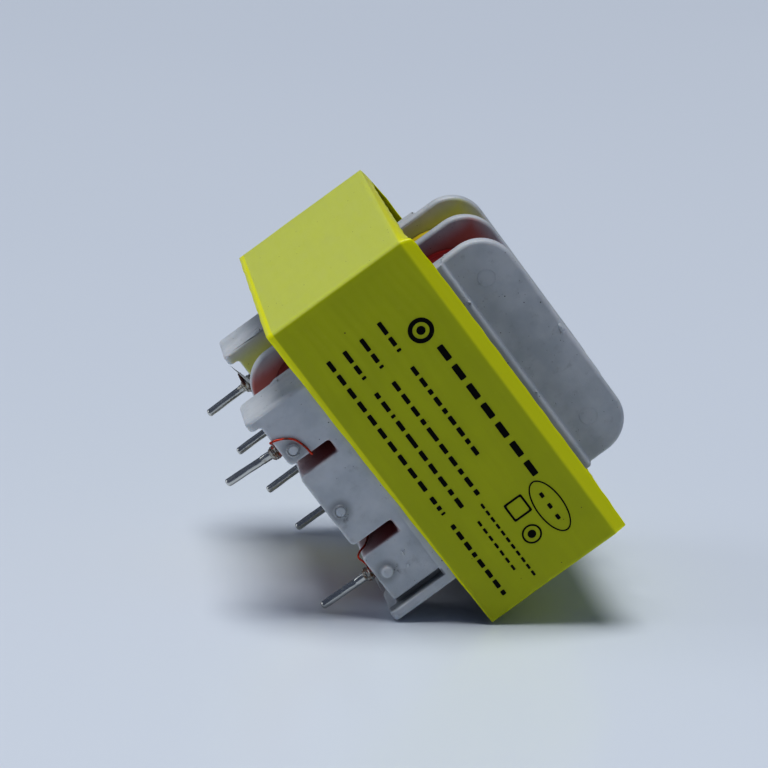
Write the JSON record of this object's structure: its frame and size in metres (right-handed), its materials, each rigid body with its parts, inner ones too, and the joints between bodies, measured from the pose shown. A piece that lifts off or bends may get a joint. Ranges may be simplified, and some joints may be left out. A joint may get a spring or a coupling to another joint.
{
  "type": "pcb transformer",
  "caption": "Laminated core wrapped in yellow tape around a white two-chamber bobbin, with terminal bars and round pins for a printed circuit board.",
  "frame": {"origin": "under the middle of the core, in the plane of the pin tips", "axes": "+X along the core's width, from pin 1 to pin 3; +Y along the coil's axis, from the primary row to the secondary row; +Z away from the pins"},
  "size_m": [0.0354, 0.0299, 0.0338],
  "materials": {
    "bobbin_white": "matte moulded plastic, greyish white",
    "core_steel": "stamped silicon steel sheet with a thin varnish",
    "tape_yellow": "glossy yellow polyester tape",
    "coil_copper": "enamelled copper wire",
    "wrap_maroon": "dark red polyester film",
    "wrap_amber": "yellow polyester film",
    "pin_tin": "tinned wire",
    "lead_enamel": "red enamelled wire",
    "lead_dark": "dark brown enamelled wire",
    "solder": "solder under amber flux"
  },
  "bodies": {
    "root": {"bobbin": "bobbin_white", "front_yoke_e_sheets": "core_steel", "rear_yoke_e_sheets": "core_steel", "front_i_sheets": "core_steel", "rear_i_sheets": "core_steel", "core_tape": "tape_yellow", "primary_coil": "coil_copper", "primary_wrap": "wrap_maroon", "secondary_coil": "coil_copper", "secondary_wrap": "wrap_amber", "pin_1": "pin_tin", "pin_3": "pin_tin", "pin_4": "pin_tin", "pin_5": "pin_tin", "pin_6": "pin_tin", "pin_7": "pin_tin", "primary_start_lead": "lead_enamel", "primary_finish_lead": "lead_enamel", "secondary_start_lead": "lead_dark", "secondary_finish_lead": "lead_dark", "solder_joint_1": "solder", "solder_joint_3": "solder", "solder_joint_4": "solder", "solder_joint_7": "solder"}
  },
  "joints": []
}
